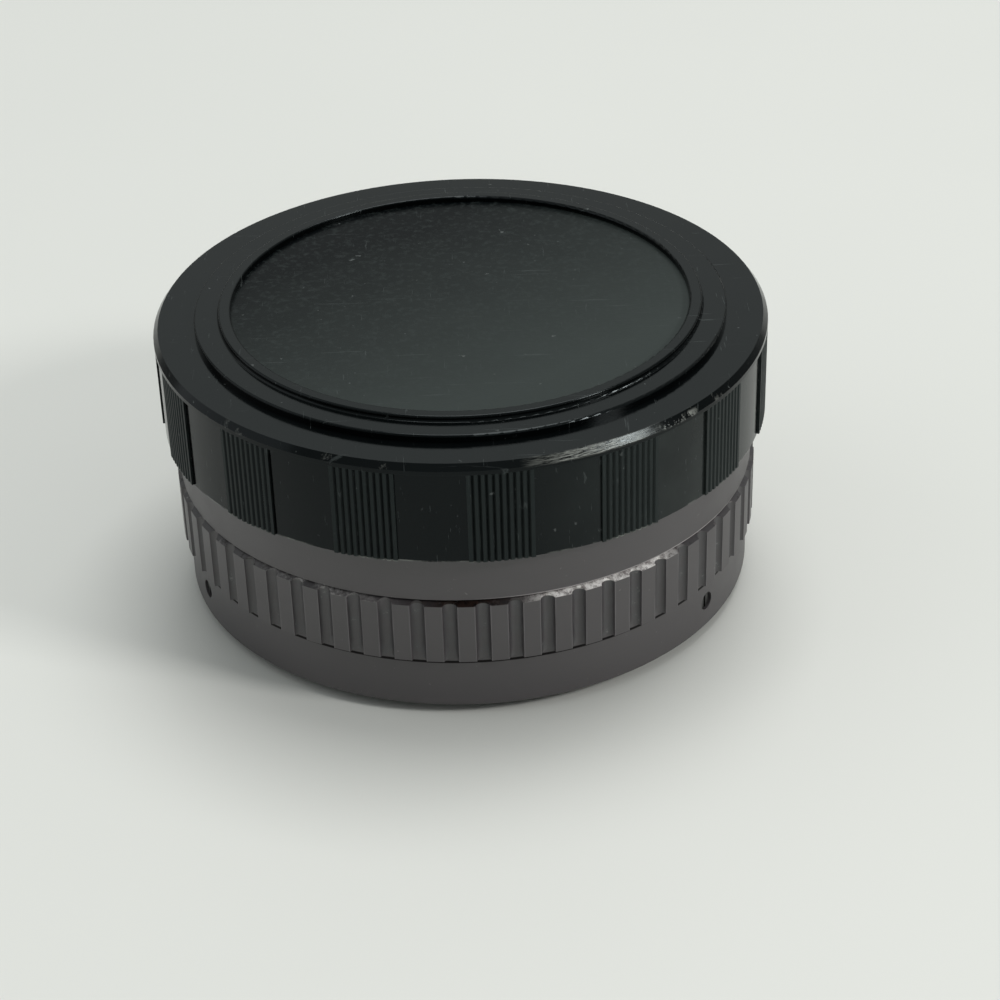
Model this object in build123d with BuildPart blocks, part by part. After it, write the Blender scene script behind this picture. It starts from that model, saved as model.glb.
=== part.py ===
from build123d import *
from math import cos, degrees, radians, sin
import os

# Camera teleconverter standing on its rear mount, with its front cap seated on the front mount.
# Millimetres. The origin is the centre of the standing face and +Z points to the front of the lens.

# Fits shared by neighbouring pieces
running_gap = 0.3  # turned faces of pieces that move past each other
flat_gap = 0.25  # flat faces of pieces that turn over each other
glass_fit = 0.05  # glass in its bore
overrun = 0.5  # how far a cut runs past the face it opens
slot_play_angle = 2.0  # left free at each end of a lever slot

# Lens and camera interface, the same at both ends
mount_throat_diameter = 48.0
mount_neck_wall = 2.0
mount_lug_reach = 2.0
mount_lug_thickness = 1.4
mount_lug_count = 3
mount_lug_arc_angle = 66.0
mount_lug_angle = 30.0

# Fluted locking ring
grip_foot_gap = 1.2
grip_wall = 1.2
grip_band_height = 5.9
grip_land_step = 0.65
grip_bottom_bevel = 0.15
grip_bevel_width = 0.72
grip_bevel_height = 0.35
flute_count = 60
flute_angle = 1.9
flute_width = 1.5
flute_floor_rise = 0.03  # above the smooth band
flute_height = 6.7

# Fixed outer barrel
barrel_gap = 0.2
barrel_wall = 4.05
barrel_height = 6.85
barrel_web = 2.0
barrel_bevel = 0.3

# Front mount ring
front_mount_height = 6.8
front_mount_base_height = 1.2
front_mount_bevel = 0.3
front_screw_spread_angle = 32.0  # between the two screws of one lug
front_screw_head = 1.6
front_screw_head_height = 0.7
front_screw_shank = 1.1
front_screw_depth = 3.0

# Rear mount ring
rear_barrel_length = 6.0
rear_barrel_wall = 1.7
rear_barrel_bevel = 0.3
rear_flange_thickness = 3.0
rear_screw_count = 4
rear_screw_head = 2.2
rear_screw_head_height = 0.9
rear_screw_shank = 1.3
rear_screw_depth = 1.9
screw_recess = 0.1
screw_slot_width = 0.35
screw_slot_depth = 0.3
locating_pin_diameter = 1.4
locating_pin_length = 0.9
locating_pin_depth = 2.0
locating_pin_angle = 270.0

# Breech ring inside the locking ring
breech_recess = 0.5
breech_wall = 1.2
breech_bore_gap = 0.4
breech_lug_thickness = 1.3
breech_lug_arc_angle = 40.0
breech_lug_play = 0.1
lock_turn_angle = 55.0
grub_screw_count = 3
grub_screw_diameter = 2.0
grub_screw_angle = 83.5
grub_screw_height_share = 0.53  # of the smooth band
grub_screw_sink = 0.25
stop_pin_diameter = 1.4
stop_pin_angle = 200.0
stop_pin_reach = 0.9  # into the breech ring's window

# Main hub that carries the barrel and both mounts
hub_shoulder_width = 1.1
hub_shoulder_height = 2.3

# Coupling rings that carry the aperture levers from lens to camera, from the hub inwards
guide_ledge = 1.8  # of the hub, inside the throat
stop_down_width = 1.5
coupling_spacing = 0.5
signal_width = 1.8
coupling_height = 1.8
lever_inset = 0.3
lever_thickness = 1.2
lever_arc_angle = 8.0
lever_foot_gap = 1.0
lever_slot_margin = 0.35
stop_down_travel_angle = 22.0
stop_down_front_angle = 120.0
stop_down_rear_angle = 100.0
stop_down_head_drop = 2.0
signal_travel_angle = 28.0
signal_front_angle = 230.0
signal_rear_angle = 250.0
signal_head_drop = 3.0

# Inner frame that carries the glass, with the slotted flange under the coupling rings
frame_wall = 1.8
frame_shoulder_step = 0.4
frame_bottom = 5.0
frame_lip_height = 0.8
frame_lip_reach = 1.6
frame_flange_land = 1.4  # seat of the flange in the rear mount ring
frame_flange_thickness = 1.6
frame_front_rim = 1.0
signal_pin_diameter = 1.6
signal_pin_tip = 0.4
signal_pin_length = 5.6
signal_pin_angle = 180.0

# Glass from rear to front, by edge thickness and by the height of each curved face
glass_land = 1.8
rear_element_edge = 3.0
rear_element_rear_bulge = 0.7
rear_element_front_bulge = -1.0
rear_spacer_length = 2.4
doublet_rear_edge = 2.0
doublet_rear_bulge = -0.6
doublet_joint_bulge = 1.4
doublet_front_edge = 3.2
doublet_front_bulge = 0.6
front_spacer_length = 2.2
front_element_edge = 3.4
front_element_rear_bulge = -0.9
front_element_front_bulge = 1.1
spacer_wall = 1.35
retaining_ring_height = 1.2
spanner_slot_width = 1.2
spanner_slot_depth = 0.5

# Retaining plate over the coupling rings, its clip and the return springs
retainer_thickness = 1.0
clip_width = 0.9
clip_thickness = 0.6
clip_seat = 0.4
clip_opening_angle = 40.0
spring_level = 2.2  # above the retaining plate
spring_lug_thickness = 0.8
spring_lug_arc_angle = 7.0
spring_peg_diameter = 0.7
spring_peg_overhang = 0.8
spring_reach_angle = 38.0  # from the peg to its anchor pin
spring_coil_diameter = 1.1
spring_wire = 0.3
spring_loop_gap = 0.1

# Front guide plate
guide_plate_thickness = 1.0
guide_screw_count = 3
guide_screw_head = 1.2
guide_screw_head_height = 0.4
guide_screw_shank = 0.8
guide_screw_depth = 2.0
guide_screw_angle = 20.0

# Index marks
index_dot_diameter = 1.6
index_dot_depth = 0.3
index_dot_proud = 0.1
index_angle = 90.0

# Front cap
cap_skirt_gap = 0.3
cap_skirt_wall = 1.15
cap_skirt_height = 11.1
cap_top_wall = 1.4
cap_bevel_width = 0.5
cap_bevel_height = 0.65
cap_lip_height = 0.45
cap_edge_width = 3.85
cap_step_width = 2.6
cap_step_rise = 0.8
cap_rim_width = 1.3
cap_rim_rise = 0.6
cap_edge_fillet = 0.22
cap_disc_depth = 0.65
cap_boss_width = 1.8
cap_boss_height = 1.4
cap_sleeve_wall = 1.0
cap_sleeve_gap = 0.3
cap_lug_arc_angle = 40.0
cap_lug_thickness = 1.2
cap_lug_play = 1.8  # below the mount lugs
cap_panel_count = 15
cap_panel_share = 0.515  # of each pitch that is smooth
cap_panel_recess = 0.25
cap_panel_angle = -0.4
cap_groove_count = 9
cap_groove_angle = 1.2
cap_groove_depth = 0.2
cap_groove_corners = 4  # of the square cutter, which stands on its corner

# Heights worked out from the sizes above, from the standing face up
seat_height = rear_barrel_length
rear_flange_top = seat_height + rear_flange_thickness
shoulder_top = rear_flange_top + hub_shoulder_height
lip_bottom = shoulder_top + flat_gap
flute_bottom = grip_foot_gap + grip_band_height
bevel_bottom = flute_bottom + flute_height
grip_top = bevel_bottom + grip_bevel_height
barrel_bottom = grip_top + barrel_gap
barrel_top = barrel_bottom + barrel_height
hub_top = barrel_top - barrel_web
mount_seat = barrel_top + front_mount_height
mount_lug_bottom = mount_seat - mount_lug_thickness
cap_plate_bottom = mount_seat + cap_boss_height
cap_plate_top = cap_plate_bottom + cap_top_wall
cap_step_top = cap_plate_top + cap_step_rise
cap_rim_top = cap_step_top + cap_rim_rise
cap_disc_top = cap_rim_top - cap_disc_depth
cap_disc_bottom = cap_disc_top - cap_top_wall
cap_skirt_bottom = cap_plate_top - cap_skirt_height
cap_lip_bottom = cap_plate_top - cap_bevel_height - cap_lip_height
cap_lug_bottom = mount_lug_bottom - cap_lug_play - cap_lug_thickness
frame_flange_bottom = rear_flange_top - frame_flange_thickness
coupling_bottom = rear_flange_top + flat_gap
coupling_top = coupling_bottom + coupling_height
retainer_bottom = coupling_top + flat_gap
retainer_top = retainer_bottom + retainer_thickness
guide_plate_top = hub_top + guide_plate_thickness
spring_height = retainer_top + spring_level

# Radii worked out outwards from the throat
throat_radius = mount_throat_diameter / 2
neck_radius = throat_radius + mount_neck_wall
lug_radius = neck_radius + mount_lug_reach
breech_bore = lug_radius + breech_bore_gap
breech_outer = breech_bore + breech_wall
breech_lug_inner = neck_radius + running_gap
hub_shoulder = breech_bore - running_gap
hub_neck = hub_shoulder - hub_shoulder_width
band_radius = breech_outer + grip_wall
land_radius = band_radius + grip_land_step
barrel_radius = hub_neck + barrel_wall
cap_skirt_inner = barrel_radius + cap_skirt_gap
cap_radius = cap_skirt_inner + cap_skirt_wall
cap_step_radius = cap_radius - cap_bevel_width - cap_edge_width
cap_rim_radius = cap_step_radius - cap_step_width
cap_sleeve_inner = lug_radius + cap_sleeve_gap
cap_sleeve_outer = cap_sleeve_inner + cap_sleeve_wall

# Radii worked out inwards from the throat
rear_barrel_radius = throat_radius - running_gap
rear_barrel_bore = rear_barrel_radius - rear_barrel_wall
hub_bore = throat_radius - guide_ledge
stop_down_outer = hub_bore - running_gap
stop_down_inner = stop_down_outer - stop_down_width
signal_outer = stop_down_inner - coupling_spacing
signal_inner = signal_outer - signal_width
frame_radius = signal_inner - running_gap
frame_upper_radius = frame_radius - frame_shoulder_step
frame_bore = frame_radius - frame_wall
frame_flange_radius = rear_barrel_bore + frame_flange_land
glass_edge = frame_bore - glass_fit
spring_radius = (signal_outer + stop_down_inner) / 2

# Circles and spots of the screws and pins
mount_pitch_angle = 360 / mount_lug_count
front_screw_radius = (throat_radius + neck_radius) / 2
guide_screw_radius = (hub_bore + throat_radius) / 2
rear_screw_radius = (rear_barrel_radius + hub_shoulder) / 2
rear_screw_angle = 360 / rear_screw_count / 2
index_dot_radius = (lug_radius + barrel_radius) / 2


def section(inner, outer, bottom, top):
    """Half section of a plain ring, for a sketch on the XZ plane."""
    with Locations(((inner + outer) / 2, (bottom + top) / 2)):
        Rectangle(outer - inner, top - bottom)


def sector(inner, outer, start, span):
    """Piece of a flat ring, for a sketch parallel to the XY plane."""
    with BuildLine() as outline:
        outer_arc = CenterArc((0, 0), outer, start, span)
        inner_arc = CenterArc((0, 0), inner, start, span)
        Line(outer_arc @ 0, inner_arc @ 0)
        Line(outer_arc @ 1, inner_arc @ 1)
    make_face(outline.edges())


def sectors(inner, outer, middle, span, count):
    """Evenly spaced pieces of a flat ring, the first one centred on an angle."""
    for number in range(count):
        sector(inner, outer, middle + number * 360 / count - span / 2, span)


def spot(radius, angle):
    """Point at a radius and an angle."""
    return (radius * cos(radians(angle)), radius * sin(radians(angle)))


def around(radius, angle, count):
    """Places on a circle, the first one at an angle."""
    return PolarLocations(radius, count, start_angle=angle)


def lens_section(rear, front, rear_bulge, front_bulge):
    """Half section of a lens, with flat lands outside its clear faces."""
    clear = frame_bore - glass_land
    with BuildLine() as outline:
        TangentArc((0, rear - rear_bulge), (clear, rear), tangent=(1, 0))
        Polyline((clear, rear), (glass_edge, rear), (glass_edge, front), (clear, front))
        TangentArc((0, front + front_bulge), (clear, front), tangent=(1, 0))
        Line((0, front + front_bulge), (0, rear - rear_bulge))
    make_face(outline.edges())


def save(piece, name):
    """Label one piece and write it under its own name."""
    piece.label = name
    export_step(piece, f"parts/{name}.step")


os.makedirs("parts", exist_ok=True)
front_screw_spots = []
for number in range(mount_lug_count):
    lug_middle = mount_lug_angle + number * mount_pitch_angle
    for angle in (lug_middle - front_screw_spread_angle / 2, lug_middle + front_screw_spread_angle / 2):
        front_screw_spots.append(spot(front_screw_radius, angle))
locating_pin_spot = spot(rear_screw_radius, locating_pin_angle)
signal_pin_spot = spot((frame_radius + rear_barrel_bore) / 2, signal_pin_angle)

# Main hub: the fixed drum that the locking ring turns on
with BuildPart() as main_hub:
    with BuildSketch(Plane.XZ):
        section(hub_bore, hub_shoulder, rear_flange_top, shoulder_top)
        section(hub_bore, hub_neck, rear_flange_top, hub_top)
    revolve(axis=Axis.Z)
    with BuildSketch(Plane.XY.offset(hub_top)):
        with Locations(*front_screw_spots):
            Circle(front_screw_shank / 2)
    extrude(amount=-front_screw_depth, mode=Mode.SUBTRACT)
    with BuildSketch(Plane.XY.offset(hub_top)):
        with around(guide_screw_radius, guide_screw_angle, guide_screw_count):
            Circle(guide_screw_shank / 2)
    extrude(amount=-guide_screw_depth, mode=Mode.SUBTRACT)
    with BuildSketch(Plane.XY.offset(rear_flange_top)):
        with around(rear_screw_radius, rear_screw_angle, rear_screw_count):
            Circle(rear_screw_shank / 2)
    extrude(amount=rear_screw_depth, mode=Mode.SUBTRACT)
save(main_hub.part, "main_hub")

# Outer barrel: the smooth band above the locking ring, closed in front by a web
with BuildPart() as outer_barrel:
    with BuildSketch(Plane.XZ):
        section(hub_neck, barrel_radius, barrel_bottom, barrel_top)
        section(throat_radius, barrel_radius, hub_top, barrel_top)
    revolve(axis=Axis.Z)
    front_edge = outer_barrel.edges().filter_by(GeomType.CIRCLE).filter_by_position(
        Axis.Z, barrel_top - overrun, barrel_top + overrun
    )
    chamfer(front_edge.sort_by(SortBy.RADIUS)[-1], barrel_bevel)
    with BuildSketch(Plane.XY.offset(barrel_top)):
        with Locations(*front_screw_spots):
            Circle(front_screw_shank / 2)
    extrude(amount=-barrel_web, mode=Mode.SUBTRACT)
    with BuildSketch(Plane.XY.offset(barrel_top)):
        with around(index_dot_radius, index_angle, 1):
            Circle(index_dot_diameter / 2)
    extrude(amount=-index_dot_depth, mode=Mode.SUBTRACT)
save(outer_barrel.part, "outer_barrel")

# Red index dot in the front face of the barrel
with BuildPart() as front_index_dot:
    with BuildSketch(Plane.XY.offset(barrel_top - index_dot_depth)):
        with around(index_dot_radius, index_angle, 1):
            Circle(index_dot_diameter / 2)
    extrude(amount=index_dot_depth + index_dot_proud)
save(front_index_dot.part, "front_index_dot")

# Front mount ring: a neck with three outward lugs and a flat seat for the lens
front_head_bottom = mount_seat - front_screw_head_height - screw_recess
with BuildPart() as front_mount_ring:
    with BuildSketch(Plane.XZ):
        section(throat_radius, neck_radius, barrel_top, mount_seat)
        section(throat_radius, lug_radius, barrel_top, barrel_top + front_mount_base_height)
    revolve(axis=Axis.Z)
    with BuildSketch(Plane.XY.offset(mount_lug_bottom)):
        sectors(throat_radius, lug_radius, mount_lug_angle, mount_lug_arc_angle, mount_lug_count)
    extrude(amount=mount_lug_thickness)
    throat_edge = front_mount_ring.edges().filter_by(GeomType.CIRCLE).filter_by_position(
        Axis.Z, mount_seat, mount_seat
    )
    chamfer(throat_edge.group_by(SortBy.RADIUS)[0], front_mount_bevel)
    with BuildSketch(Plane.XY.offset(mount_seat)):
        with Locations(*front_screw_spots):
            Circle(front_screw_shank / 2)
    extrude(amount=-front_mount_height, mode=Mode.SUBTRACT)
    with BuildSketch(Plane.XY.offset(mount_seat)):
        with Locations(*front_screw_spots):
            Circle(front_screw_head / 2)
    extrude(amount=front_head_bottom - mount_seat, mode=Mode.SUBTRACT)
save(front_mount_ring.part, "front_mount_ring")

# Screws through the front mount into the hub
with BuildPart() as front_mount_screws:
    with BuildSketch(Plane.XY.offset(front_head_bottom)):
        with Locations(*front_screw_spots):
            Circle(front_screw_head / 2)
    extrude(amount=front_screw_head_height)
    with BuildSketch(Plane.XY.offset(hub_top - front_screw_depth)):
        with Locations(*front_screw_spots):
            Circle(front_screw_shank / 2)
    extrude(amount=front_head_bottom - hub_top + front_screw_depth)
    with BuildSketch(Plane.XY.offset(front_head_bottom + front_screw_head_height)):
        with Locations(*front_screw_spots):
            Rectangle(front_screw_head, screw_slot_width)
    extrude(amount=-screw_slot_depth, mode=Mode.SUBTRACT)
save(front_mount_screws.part, "front_mount_screws")

# Rear mount ring: the barrel that enters the camera, with the seating face round it
rear_head_top = seat_height + screw_recess + rear_screw_head_height
with BuildPart() as rear_mount_ring:
    with BuildSketch(Plane.XZ):
        section(rear_barrel_bore, rear_barrel_radius, 0, rear_flange_top)
        section(rear_barrel_bore, hub_shoulder, seat_height, rear_flange_top)
    revolve(axis=Axis.Z)
    with BuildSketch(Plane.XZ):
        section(0, frame_flange_radius, frame_flange_bottom, rear_flange_top + overrun)
    revolve(axis=Axis.Z, mode=Mode.SUBTRACT)
    foot_edge = rear_mount_ring.edges().filter_by(GeomType.CIRCLE).filter_by_position(Axis.Z, 0, 0)
    chamfer(foot_edge.sort_by(SortBy.RADIUS)[-1], rear_barrel_bevel)
    with BuildSketch(Plane.XY.offset(seat_height)):
        with around(rear_screw_radius, rear_screw_angle, rear_screw_count):
            Circle(rear_screw_shank / 2)
    extrude(amount=rear_flange_thickness, mode=Mode.SUBTRACT)
    with BuildSketch(Plane.XY.offset(seat_height)):
        with around(rear_screw_radius, rear_screw_angle, rear_screw_count):
            Circle(rear_screw_head / 2)
    extrude(amount=rear_head_top - seat_height, mode=Mode.SUBTRACT)
    with BuildSketch(Plane.XY.offset(seat_height)):
        with Locations(locating_pin_spot):
            Circle(locating_pin_diameter / 2)
    extrude(amount=locating_pin_depth, mode=Mode.SUBTRACT)
save(rear_mount_ring.part, "rear_mount_ring")

# Pin beside the seating face, which finds the hole in the camera's mount
with BuildPart() as rear_locating_pin:
    with BuildSketch(Plane.XY.offset(seat_height + locating_pin_depth)):
        with Locations(locating_pin_spot):
            Circle(locating_pin_diameter / 2)
    extrude(amount=-locating_pin_depth - locating_pin_length)
    chamfer(rear_locating_pin.edges().group_by(Axis.Z)[0], screw_recess)
save(rear_locating_pin.part, "rear_locating_pin")

# Screws through the rear mount into the hub
with BuildPart() as rear_mount_screws:
    with BuildSketch(Plane.XY.offset(rear_head_top)):
        with around(rear_screw_radius, rear_screw_angle, rear_screw_count):
            Circle(rear_screw_head / 2)
    extrude(amount=-rear_screw_head_height)
    with BuildSketch(Plane.XY.offset(rear_head_top)):
        with around(rear_screw_radius, rear_screw_angle, rear_screw_count):
            Circle(rear_screw_shank / 2)
    extrude(amount=rear_flange_top + rear_screw_depth - rear_head_top)
    with BuildSketch(Plane.XY.offset(rear_head_top - rear_screw_head_height)):
        with around(rear_screw_radius, rear_screw_angle, rear_screw_count):
            Rectangle(rear_screw_head, screw_slot_width)
    extrude(amount=screw_slot_depth, mode=Mode.SUBTRACT)
save(rear_mount_screws.part, "rear_mount_screws")

# Levers of both coupling rings: their radii and the angles that their slots leave free
stop_down_lever_outer = stop_down_outer - lever_inset
stop_down_lever_inner = stop_down_lever_outer - lever_thickness
signal_lever_outer = signal_outer - lever_inset
signal_lever_inner = signal_lever_outer - lever_thickness


def lever_slot(inner, outer, angle, travel):
    """Slot that a lever sweeps through, with play at both ends."""
    start = angle - lever_arc_angle / 2 - slot_play_angle
    sweep_angle = travel + lever_arc_angle + 2 * slot_play_angle
    sector(inner - lever_slot_margin, outer + lever_slot_margin, start, sweep_angle)


# Inner frame: the tube that holds the glass, with the slotted flange that the levers pass
rear_element_rear = frame_bottom + frame_lip_height
rear_element_front = rear_element_rear + rear_element_edge
rear_spacer_front = rear_element_front + rear_spacer_length
doublet_joint = rear_spacer_front + doublet_rear_edge
doublet_front = doublet_joint + doublet_front_edge
front_spacer_front = doublet_front + front_spacer_length
front_element_front = front_spacer_front + front_element_edge
retaining_ring_front = front_element_front + retaining_ring_height
frame_top = retaining_ring_front + frame_front_rim
with BuildPart() as inner_frame:
    with BuildSketch(Plane.XZ):
        section(frame_bore, frame_radius, frame_bottom, retainer_bottom)
        section(frame_bore, frame_upper_radius, frame_bottom, frame_top)
        section(frame_bore - frame_lip_reach, frame_radius, frame_bottom, frame_bottom + frame_lip_height)
        section(frame_bore, frame_flange_radius, frame_flange_bottom, rear_flange_top)
    revolve(axis=Axis.Z)
    with BuildSketch(Plane.XZ):
        section(
            frame_upper_radius - clip_seat, frame_radius, retainer_top, retainer_top + clip_thickness
        )
    revolve(axis=Axis.Z, mode=Mode.SUBTRACT)
    mouth_edge = inner_frame.edges().filter_by(GeomType.CIRCLE).filter_by_position(
        Axis.Z, frame_top, frame_top
    )
    chamfer(mouth_edge.sort_by(SortBy.RADIUS)[0], frame_front_rim / 2)
    with BuildSketch(Plane.XY.offset(frame_flange_bottom)):
        lever_slot(stop_down_lever_inner, stop_down_lever_outer, stop_down_rear_angle, stop_down_travel_angle)
        lever_slot(signal_lever_inner, signal_lever_outer, signal_rear_angle, signal_travel_angle)
    extrude(amount=frame_flange_thickness, mode=Mode.SUBTRACT)
save(inner_frame.part, "inner_frame")

# Pin on the rear face of the frame, which tells the camera that the lens opens fully
with BuildPart() as rear_signal_pin:
    with BuildSketch(Plane.XY.offset(frame_flange_bottom)):
        with Locations(signal_pin_spot):
            Circle(signal_pin_diameter / 2)
    extrude(amount=-signal_pin_length)
    chamfer(rear_signal_pin.edges().group_by(Axis.Z)[0], signal_pin_tip)
save(rear_signal_pin.part, "rear_signal_pin")

# Glass, spacers and the ring that holds them
with BuildPart() as rear_element:
    with BuildSketch(Plane.XZ):
        lens_section(
            rear_element_rear, rear_element_front, rear_element_rear_bulge, rear_element_front_bulge
        )
    revolve(axis=Axis.Z)
save(rear_element.part, "rear_element")

with BuildPart() as rear_spacer:
    with BuildSketch(Plane.XZ):
        section(glass_edge - spacer_wall, glass_edge, rear_element_front, rear_spacer_front)
    revolve(axis=Axis.Z)
save(rear_spacer.part, "rear_spacer")

with BuildPart() as doublet_rear_element:
    with BuildSketch(Plane.XZ):
        lens_section(rear_spacer_front, doublet_joint, doublet_rear_bulge, doublet_joint_bulge)
    revolve(axis=Axis.Z)
save(doublet_rear_element.part, "doublet_rear_element")

with BuildPart() as doublet_front_element:
    with BuildSketch(Plane.XZ):
        lens_section(doublet_joint, doublet_front, -doublet_joint_bulge, doublet_front_bulge)
    revolve(axis=Axis.Z)
save(doublet_front_element.part, "doublet_front_element")

with BuildPart() as front_spacer:
    with BuildSketch(Plane.XZ):
        section(glass_edge - spacer_wall, glass_edge, doublet_front, front_spacer_front)
    revolve(axis=Axis.Z)
save(front_spacer.part, "front_spacer")

with BuildPart() as front_element:
    with BuildSketch(Plane.XZ):
        lens_section(
            front_spacer_front, front_element_front, front_element_rear_bulge, front_element_front_bulge
        )
    revolve(axis=Axis.Z)
save(front_element.part, "front_element")

with BuildPart() as retaining_ring:
    with BuildSketch(Plane.XZ):
        section(glass_edge - spacer_wall, glass_edge, front_element_front, retaining_ring_front)
    revolve(axis=Axis.Z)
    with BuildSketch(Plane.XY.offset(retaining_ring_front)):
        Rectangle(2 * frame_bore, spanner_slot_width)
    extrude(amount=-spanner_slot_depth, mode=Mode.SUBTRACT)
save(retaining_ring.part, "retaining_ring")


def coupling_ring(inner, outer, lever_inner, lever_outer, front_angle, rear_angle, head_drop):
    """Ring on the frame flange with a front lever, a rear lever and a peg for its spring."""
    lever_start = -lever_arc_angle / 2
    lug_start = front_angle + lever_start - spring_lug_arc_angle
    peg_angle = lug_start + spring_lug_arc_angle / 2
    with BuildPart() as ring:
        with BuildSketch(Plane.XZ):
            section(inner, outer, coupling_bottom, coupling_top)
        revolve(axis=Axis.Z)
        with BuildSketch(Plane.XY.offset(coupling_bottom)):
            sector(lever_inner, lever_outer, front_angle + lever_start, lever_arc_angle)
        extrude(amount=mount_seat - head_drop - coupling_bottom)
        with BuildSketch(Plane.XY.offset(lever_foot_gap)):
            sector(lever_inner, lever_outer, rear_angle + lever_start, lever_arc_angle)
        extrude(amount=coupling_top - lever_foot_gap)
        lug_bottom = spring_height - spring_coil_diameter / 2 - spring_lug_thickness
        lug_inner = min(lever_inner, spring_radius - spring_peg_diameter)
        lug_outer = max(lever_outer, spring_radius + spring_peg_diameter)
        with BuildSketch(Plane.XY.offset(lug_bottom)):
            sector(lug_inner, lug_outer, lug_start, spring_lug_arc_angle + lever_arc_angle / 2)
        extrude(amount=spring_lug_thickness)
        with BuildSketch(Plane.XY.offset(lug_bottom)):
            with around(spring_radius, peg_angle, 1):
                Circle(spring_peg_diameter / 2)
        extrude(amount=spring_lug_thickness + spring_coil_diameter + spring_peg_overhang)
    return ring.part, peg_angle


# Stop-down ring and aperture signal ring, one inside the other
stop_down_ring, stop_down_peg_angle = coupling_ring(
    stop_down_inner,
    stop_down_outer,
    stop_down_lever_inner,
    stop_down_lever_outer,
    stop_down_front_angle,
    stop_down_rear_angle,
    stop_down_head_drop,
)
save(stop_down_ring, "stop_down_ring")
aperture_signal_ring, signal_peg_angle = coupling_ring(
    signal_inner,
    signal_outer,
    signal_lever_inner,
    signal_lever_outer,
    signal_front_angle,
    signal_rear_angle,
    signal_head_drop,
)
save(aperture_signal_ring, "aperture_signal_ring")

# Retaining plate over both coupling rings, with slots for their front levers
with BuildPart() as coupling_retainer:
    with BuildSketch(Plane.XZ):
        section(frame_upper_radius, hub_bore, retainer_bottom, retainer_top)
    revolve(axis=Axis.Z)
    with BuildSketch(Plane.XY.offset(retainer_bottom)):
        lever_slot(stop_down_lever_inner, stop_down_lever_outer, stop_down_front_angle, stop_down_travel_angle)
        lever_slot(signal_lever_inner, signal_lever_outer, signal_front_angle, signal_travel_angle)
    extrude(amount=retainer_thickness, mode=Mode.SUBTRACT)
save(coupling_retainer.part, "coupling_retainer")

# Open clip in the frame's groove, holding the retaining plate down
with BuildPart() as retainer_clip:
    with BuildSketch(Plane.XY.offset(retainer_top)):
        clip_inner = frame_upper_radius - clip_seat
        sector(clip_inner, clip_inner + clip_width + clip_seat, clip_opening_angle / 2, 360 - clip_opening_angle)
    extrude(amount=clip_thickness)
save(retainer_clip.part, "retainer_clip")

# Pins on the retaining plate that anchor the springs
anchor_angles = [stop_down_peg_angle - spring_reach_angle, signal_peg_angle - spring_reach_angle]
with BuildPart() as spring_anchor_pins:
    with BuildSketch(Plane.XY.offset(retainer_top)):
        for angle in anchor_angles:
            with around(spring_radius, angle, 1):
                Circle(spring_peg_diameter / 2)
    extrude(amount=spring_level + spring_coil_diameter / 2 + spring_peg_overhang)
save(spring_anchor_pins.part, "spring_anchor_pins")


def return_spring(peg_angle):
    """Close-wound tension spring between a peg and its anchor pin, with a loop round each."""
    loop_radius = spring_peg_diameter / 2 + spring_loop_gap + spring_wire / 2
    ends = []
    for angle in (peg_angle, peg_angle - spring_reach_angle):
        ends.append(Vector(*spot(spring_radius, angle), spring_height))
    along = (ends[1] - ends[0]).normalized()
    coil_start = ends[0] + along * loop_radius
    coil_length = (ends[1] - ends[0]).length - 2 * loop_radius
    with BuildPart() as spring:
        with BuildSketch(Plane(origin=coil_start, z_dir=along)):
            Circle(spring_coil_diameter / 2)
        extrude(amount=coil_length)
        with BuildSketch(Plane.XY.offset(spring_height - spring_coil_diameter)):
            for end in ends:
                with Locations((end.X, end.Y)):
                    Circle(loop_radius - spring_wire / 2)
        extrude(amount=2 * spring_coil_diameter, mode=Mode.SUBTRACT)
        with BuildSketch(Plane.XY.offset(spring_height - spring_wire / 2)):
            for end in ends:
                with Locations((end.X, end.Y)):
                    Circle(loop_radius + spring_wire / 2)
                    Circle(loop_radius - spring_wire / 2, mode=Mode.SUBTRACT)
        extrude(amount=spring_wire)
    return spring.part


save(return_spring(stop_down_peg_angle), "stop_down_spring")
save(return_spring(signal_peg_angle), "aperture_signal_spring")

# Front guide plate: the black slotted plate seen inside the front throat
guide_head_bottom = guide_plate_top - guide_screw_head_height
with BuildPart() as front_guide_plate:
    with BuildSketch(Plane.XZ):
        section(frame_upper_radius, throat_radius, hub_top, guide_plate_top)
    revolve(axis=Axis.Z)
    with BuildSketch(Plane.XY.offset(hub_top)):
        lever_slot(stop_down_lever_inner, stop_down_lever_outer, stop_down_front_angle, stop_down_travel_angle)
        lever_slot(signal_lever_inner, signal_lever_outer, signal_front_angle, signal_travel_angle)
        with around(guide_screw_radius, guide_screw_angle, guide_screw_count):
            Circle(guide_screw_shank / 2)
    extrude(amount=guide_plate_thickness, mode=Mode.SUBTRACT)
    with BuildSketch(Plane.XY.offset(guide_head_bottom)):
        with around(guide_screw_radius, guide_screw_angle, guide_screw_count):
            Circle(guide_screw_head / 2)
    extrude(amount=guide_screw_head_height, mode=Mode.SUBTRACT)
save(front_guide_plate.part, "front_guide_plate")

# Screws of the front guide plate
with BuildPart() as guide_plate_screws:
    with BuildSketch(Plane.XY.offset(guide_head_bottom)):
        with around(guide_screw_radius, guide_screw_angle, guide_screw_count):
            Circle(guide_screw_head / 2)
    extrude(amount=guide_screw_head_height)
    with BuildSketch(Plane.XY.offset(guide_head_bottom)):
        with around(guide_screw_radius, guide_screw_angle, guide_screw_count):
            Circle(guide_screw_shank / 2)
    extrude(amount=hub_top - guide_screw_depth - guide_head_bottom)
save(guide_plate_screws.part, "guide_plate_screws")

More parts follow.
